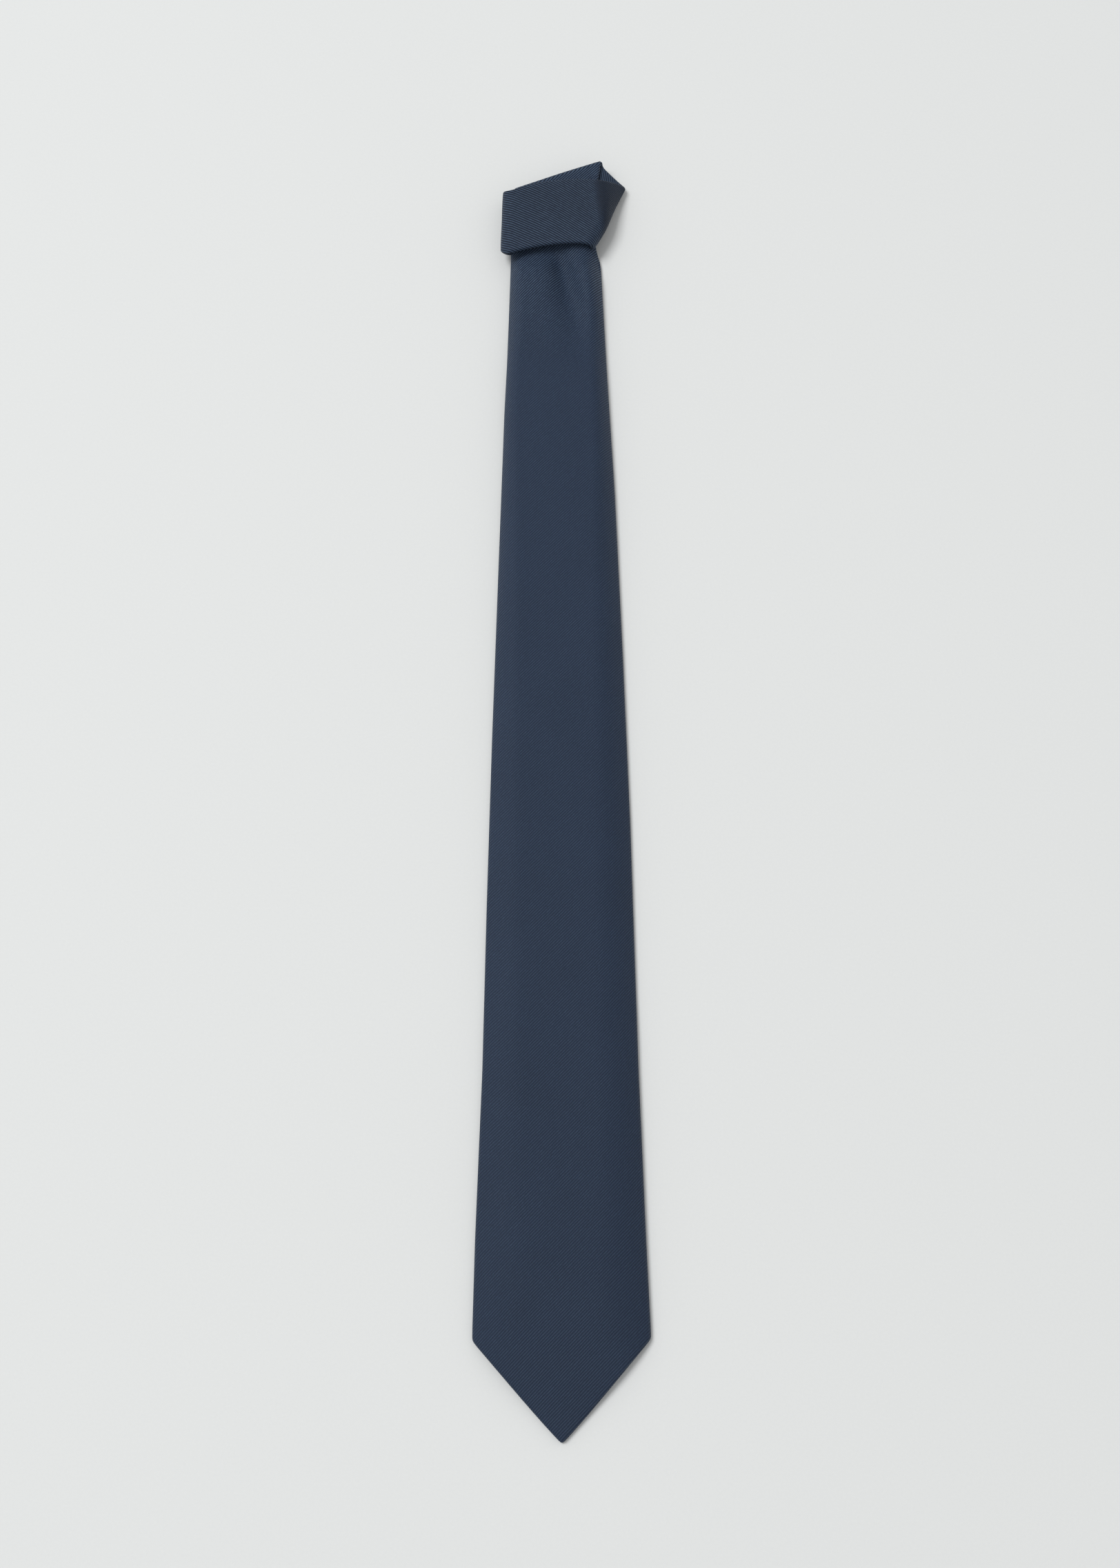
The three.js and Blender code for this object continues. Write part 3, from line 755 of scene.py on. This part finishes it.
def plain_weave(name, dark, pale, thread, roughness, sheen, distance):
    """Cloth of fine crossing threads, thread millimetres apart, whose crowns stand distance metres high."""
    nodes = Nodes(name)
    along, across = nodes.cloth_coordinates()
    warp = nodes.math("SINE", nodes.math("MULTIPLY", along, math.tau / thread))
    weft = nodes.math("SINE", nodes.math("MULTIPLY", across, math.tau / thread))
    weave = nodes.math("MULTIPLY_ADD", nodes.math("MULTIPLY", warp, weft), 0.5, 0.5)
    fuzz = nodes.noise(along, across, 1.7, 4.0, 0.65)
    cloudy = nodes.noise(along, across, 0.06, 2.0)
    light = nodes.math("MULTIPLY_ADD", weave, 0.55, nodes.math("MULTIPLY", fuzz, 0.45))
    colour = nodes.colour_ramp(light, [(0.15, dark), (0.85, pale)])
    gain = nodes.math("MULTIPLY_ADD", cloudy, 0.24, 0.88)
    rough = nodes.math("MULTIPLY_ADD", fuzz, 0.2, roughness - 0.1)
    return nodes.surface(nodes.scaled_colour(colour, gain), rough, light, distance, sheen=sheen, specular=0.3)


def floor_material():
    nodes = Nodes("pale_floor")
    coordinates = nodes.tree.nodes.new("ShaderNodeTexCoord")
    grain = nodes.tree.nodes.new("ShaderNodeTexNoise")
    grain.inputs["Scale"].default_value = 900
    nodes.tree.links.new(coordinates.outputs["Object"], grain.inputs["Vector"])
    shades = [(0.3, (0.800, 0.815, 0.810)), (0.7, (0.812, 0.827, 0.822))]
    colour = nodes.colour_ramp(grain.outputs["Fac"], shades)
    nodes.link(colour, nodes.shader.inputs["Base Color"])
    nodes.shader.inputs["Roughness"].default_value = 0.95
    nodes.shader.inputs["Specular IOR Level"].default_value = 0.1
    return nodes.material


SHELL_CLOTH = ribbed_cloth("shell_cloth")
TIPPING_CLOTH = plain_weave("tipping_cloth", (0.010, 0.014, 0.028), (0.030, 0.042, 0.074),
                            thread=0.22, roughness=0.42, sheen=0.1, distance=0.00003)
INTERLINING_CLOTH = plain_weave("interlining_cloth", (0.42, 0.38, 0.30), (0.74, 0.70, 0.60),
                                thread=0.7, roughness=0.9, sheen=0.2, distance=0.00015)
LABEL_CLOTH = plain_weave("label_cloth", (0.38, 0.37, 0.33), (0.66, 0.65, 0.60),
                          thread=0.25, roughness=0.5, sheen=0.1, distance=0.00004)
THREAD = plain_weave("thread", (0.012, 0.018, 0.034), (0.060, 0.080, 0.125),
                     thread=0.3, roughness=0.6, sheen=0.1, distance=0.00005)


def finish_piece(piece, material):
    piece.data.materials.clear()
    piece.data.materials.append(material)
    return piece


# ---- pieces -------------------------------------------------------------------------------------

HALF_SEAM = 0.1                    # half of the hairline between two lengths of shell cloth


def blend_over_hinge(piece):
    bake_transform(piece)


def shell_piece(name, start, end, seams):
    return finish_piece(shell(name, start, end, seams), SHELL_CLOTH)


def build_shells():
    blade = shell_piece("blade_shell", 0, NECK_SEAM - HALF_SEAM, [NECK_SEAM])
    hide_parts("blade_shell_lower", "blade_shell_upper")
    blend_over_hinge(blade)
    neck = shell_piece("neck_shell_cloth", NECK_SEAM + HALF_SEAM, TAIL_SEAM - HALF_SEAM,
                       [NECK_SEAM, TAIL_SEAM])
    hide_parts("neck_shell")
    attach(neck, "tie")
    tail = shell_piece("tail_shell_cloth", TAIL_SEAM + HALF_SEAM, TIE_LENGTH, [TAIL_SEAM])
    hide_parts("tail_shell")
    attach(tail, "tie")


POINT_MARGIN = 3                   # the linings stop this far short of each point
EDGE_MARGIN = 0.3                  # and the interlining this far short of the rolled edges,
CREASE_MARGIN = 2.7                # and this much more where the blade folds over
CREASE_SQUEEZE = 0.25              # where it is pressed thinner too
CREASE_END, CREASE_EASE = 16, 8    # how far from the crease that stops, and over what length
LINING_GAP = 0.15                  # between the shell's inner face and the interlining
TIPPING_MARGIN = 0.2
INTERLINING_JOINT = (NECK_SEAM + TAIL_SEAM) / 2
HALF_JOINT = 0.2
LINING_CELLS = 18                  # across


def near_crease(u):
    """1 where the blade folds over, 0 away from there."""
    return ease((CREASE_END - np.abs(u - HINGE_AT)) / CREASE_EASE)


def lining_grid(start, end, margin):
    """u and v over the inside of the tube, margin millimetres short of its rolled edges."""
    u = rows(start, end)[:, None]
    _, roll_left, roll_right = rolls(u)
    gap = margin(u)
    across = roll_left + gap + (roll_right - roll_left - 2 * gap) * np.linspace(0, 1, LINING_CELLS + 1)[None]
    return np.broadcast_to(u, across.shape), across


def interlining(name, start, end):
    along, across = lining_grid(start, end, lambda u: EDGE_MARGIN + CREASE_MARGIN * near_crease(u))
    squeeze = CREASE_SQUEEZE * near_crease(along)
    top = face_height(along, across) - WALL - LINING_GAP - squeeze
    piece = slab(name, along, across, top, top - INTERLINING + 1.6 * squeeze)
    return finish_piece(piece, INTERLINING_CLOTH)


def tipping(name, start, end):
    along, across = lining_grid(start, end, lambda u: TIPPING_MARGIN)
    radius, _, _ = rolls(along)
    low = -radius + WALL + 0.12 + 0.06 * np.sin(along / 7.0 + across / 5.0)
    piece = slab(name, along, across, low + LINING, low)
    return finish_piece(piece, TIPPING_CLOTH)


def build_linings():
    blade = interlining("blade_interlining", POINT_MARGIN, INTERLINING_JOINT - HALF_JOINT)
    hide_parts("blade_interlining_lower", "blade_interlining_upper")
    blend_over_hinge(blade)
    tail = interlining("tail_interlining_cloth", INTERLINING_JOINT + HALF_JOINT, TIE_LENGTH - POINT_MARGIN)
    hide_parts("tail_interlining")
    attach(tail, "tie")
    blade_tip = tipping("blade_tipping_cloth", POINT_MARGIN, BLADE_TIPPING_END)
    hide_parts("blade_tipping")
    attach(blade_tip, "blade_end")
    tail_tip = tipping("tail_tipping_cloth", TAIL_TIPPING_START, TIE_LENGTH - POINT_MARGIN)
    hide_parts("tail_tipping")
    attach(tail_tip, "tie")


def steps(length, spacing, edge=0.35):
    """Distances from 0 to length, with extra ones near both ends."""
    inner = np.linspace(edge, length - edge, max(2, round((length - 2 * edge) / spacing) + 1))
    return np.concatenate([[0, 0.3 * edge, 0.6 * edge], inner, length - np.array([0.6, 0.3, 0]) * edge])


Patch = namedtuple("Patch", "at along across thick arch round_edge")

STAND_OFF = 0.3                    # from the blade's back to the pieces sewn to it
KEEPER = Patch(KEEPER_AT, 13, 50, 0.7, 0.35, 0.35)
MAKER_LABEL = Patch(MAKER_LABEL_AT, 20, 40, 0.3, 0.15, 0.2)
CARE_LABEL = Patch(CARE_LABEL_AT, 30, 20, 0.3, 0.3, 0.2)
STITCH_INSET = 2                   # from the ends of a keeper or label to its rows of stitches
HANDS = ((-1, "left"), (1, "right"))


def patch(name, size, material):
    """A flat piece sewn to the back of the blade, standing off it by its arch in its middle."""
    up, over = np.meshgrid(steps(size.along, 1.3), steps(size.across, 1.5), indexing="ij")
    along, across = size.at - size.along / 2 + up, over - size.across / 2
    to_edge = np.minimum(np.minimum(up, size.along - up), np.minimum(over, size.across - over))
    fullness = np.sqrt(np.clip(1 - (1 - np.minimum(to_edge / size.round_edge, 1)) ** 2, 0, 1))
    middle = 1 - (across / (size.across / 2)) ** 2
    near = -thickness(along) / 2 - STAND_OFF - size.arch * middle - 0.03 * np.sin(along / 2.1 + across / 3.7)
    piece = slab(name, along, across, near, near - size.thick * (0.3 + 0.7 * fullness))
    return finish_piece(piece, material)


def stitch_row(size, side, name, replaced, count, margin, pitch, length, sunk):
    """Short stitches through one end of a patch, the first of them margin in from the patch's edge."""
    paths = []
    for first in size.at - size.along / 2 + margin + pitch * np.arange(count):
        t = np.linspace(0, 1, 7)
        u = first + length * t
        out = thickness(u) / 2 + size.thick + sunk - 0.15 + 0.28 * np.sin(math.pi * t)
        paths.append(place(u, side * (size.across / 2 - STITCH_INSET), -out))
    piece = finish_piece(tube(name, paths, 0.16), THREAD)
    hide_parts(replaced)
    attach(piece, "blade_end")


def build_keeper():
    strap = patch("keeper_strap", KEEPER, SHELL_CLOTH)
    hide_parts("keeper_loop")
    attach(strap, "blade_end")
    for side, hand in HANDS:
        stitch_row(KEEPER, side, f"keeper_thread_{hand}", f"keeper_stitch_{hand}",
                   count=5, margin=1.2, pitch=2.2, length=1.6, sunk=0.15)


def build_labels():
    label = patch("blank_maker_label", MAKER_LABEL, LABEL_CLOTH)
    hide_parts("maker_label")
    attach(label, "blade_end")
    for side, hand in HANDS:
        stitch_row(MAKER_LABEL, side, f"label_thread_{hand}", f"maker_label_stitch_{hand}",
                   count=7, margin=1.6, pitch=2.5, length=1.7, sunk=0.12)
    label = patch("blank_care_label", CARE_LABEL, LABEL_CLOTH)
    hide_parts("care_label")
    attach(label, "blade_end")


def seam_middle(u):
    _, roll_left, roll_right = rolls(u)
    return (roll_left + roll_right) / 2


TACK_HALF, TACK_REACH, TACK_PASSES = 5, 0.8, 40
STITCH_LENGTH = 9
STITCH_SWING = 0.75                # to either side of the seam
STITCH_MARGIN = 2.5                # between a tack and the end of the slip stitch
THREAD_RADIUS = 0.17
THREAD_SPACING = 0.75              # from point to point along the slip stitch
THREAD_JOIN = HINGE_AT + 7         # the slip stitch is drawn in two lengths that touch here
SLACK_LENGTH = 14.4                # the slack loop's length
SLACK_WIDTH = 3.25                 # and about half its width


def bar_tack(name, at, replaced, body):
    """Thread worked back and forth over the place where the flaps meet."""
    across = np.linspace(-TACK_HALF, TACK_HALF, TACK_PASSES)
    u = at + TACK_REACH * np.where(np.arange(TACK_PASSES) % 2, 1, -1)
    path = place(u, seam_middle(u) + across, -thickness(u) / 2 - 0.18 - 0.12 * bump(across / 4))
    piece = finish_piece(tube(name, [path], THREAD_RADIUS), THREAD)
    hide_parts(replaced)
    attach(piece, body)


def seam_thread(name, start, end, replaced):
    """The thread that crosses the seam at each stitch, and runs inside a flap between stitches."""
    u = np.linspace(start, end, round((end - start) / THREAD_SPACING) + 1)
    swing = np.tanh(6 * np.sin(math.pi * u / STITCH_LENGTH))
    inside = -thickness(u) / 2 + WALL + 0.2
    crossing = -thickness(u) / 2 + 0.1
    path = place(u, seam_middle(u) + STITCH_SWING * swing, inside + (crossing - inside) * (1 - swing ** 2))
    piece = finish_piece(tube(name, [path], THREAD_RADIUS, 5), THREAD)
    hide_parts(replaced)
    return piece


def build_threads():
    bar_tack("blade_tack_thread", BLADE_TACK_AT, "blade_bar_tack", "blade_end")
    bar_tack("tail_tack_thread", TAIL_TACK_AT, "tail_bar_tack", "tie")

    lower = seam_thread("slip_stitch_start", BLADE_TACK_AT + STITCH_MARGIN, THREAD_JOIN, "slip_stitch_lower")
    blend_over_hinge(lower)
    upper = seam_thread("slip_stitch_rest", THREAD_JOIN, TAIL_TACK_AT - STITCH_MARGIN, "slip_stitch_upper")
    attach(upper, "tie")

    # the slack end of the thread hangs out below the tack as a loop
    turn = np.linspace(-math.pi / 2, 1.5 * math.pi, 40)
    down = (1 + np.sin(turn)) / 2
    u = BLADE_TACK_AT - 2 - SLACK_LENGTH * down
    v = seam_middle(u) + SLACK_WIDTH * np.cos(turn) * np.sqrt(down)
    path = place(u, v, -thickness(u) / 2 - 0.28 - 0.15 * np.sin(turn * 2))
    loop = finish_piece(tube("slack_loop", [path], 0.2), THREAD)
    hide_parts("slack_thread_loop")
    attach(loop, "blade_end")


# ---- stage --------------------------------------------------------------------------------------

FLOOR_HALF = 20.0


def build_floor():
    mesh = bpy.data.meshes.new("floor")
    corners = [(x * FLOOR_HALF, y * FLOOR_HALF, 0) for x, y in ((-1, -1), (1, -1), (1, 1), (-1, 1))]
    mesh.from_pydata(corners, [], [(0, 1, 2, 3)])
    floor = bpy.data.objects.new("floor", mesh)
    bpy.context.scene.collection.objects.link(floor)
    floor.data.materials.append(floor_material())


CAMERA_TILT = math.radians(19.6)   # off straight down: it stands back towards the blade's point
CAMERA_DISTANCE = 0.9369           # metres
CAMERA_AIM = (-0.0005, -0.0198)    # off the middle of the tie
LENS = 50.34
WORLD_STRENGTH = 0.505


def build_camera():
    low, high = CAD_BOX
    data = bpy.data.cameras.new("camera")
    data.lens = LENS
    camera = bpy.data.objects.new("camera", data)
    aim_x = (low[0] + high[0]) / 2 + CAMERA_AIM[0]
    aim_y = (low[1] + high[1]) / 2 + CAMERA_AIM[1]
    back, height = CAMERA_DISTANCE * math.sin(CAMERA_TILT), CAMERA_DISTANCE * math.cos(CAMERA_TILT)
    camera.location = (aim_x, aim_y - back, height)
    camera.rotation_euler = (CAMERA_TILT, 0, 0)
    bpy.context.scene.collection.objects.link(camera)
    bpy.context.scene.camera = camera


def area_light(name, location, size, power):
    """A square light aimed at the frame's origin."""
    data = bpy.data.lights.new(name, "AREA")
    data.size = size
    data.energy = power
    light = bpy.data.objects.new(name, data)
    light.location = location
    direction = np.array(location) / np.linalg.norm(location)
    light.rotation_euler = (math.acos(direction[2]), 0, math.atan2(direction[1], direction[0]) + math.pi / 2)
    bpy.context.scene.collection.objects.link(light)


def build_lights():
    world = bpy.data.worlds.new("world")
    world.use_nodes = True
    background = world.node_tree.nodes["Background"]
    background.inputs["Color"].default_value = (1, 1, 1, 1)
    background.inputs["Strength"].default_value = WORLD_STRENGTH
    bpy.context.scene.world = world
    area_light("window_light", (-2.1, 0.7, 4.4), 2.2, 128)
    bpy.context.scene.view_settings.view_transform = "Standard"


build_camera()
build_shells()
build_linings()
build_keeper()
build_labels()
build_threads()
build_floor()
build_lights()
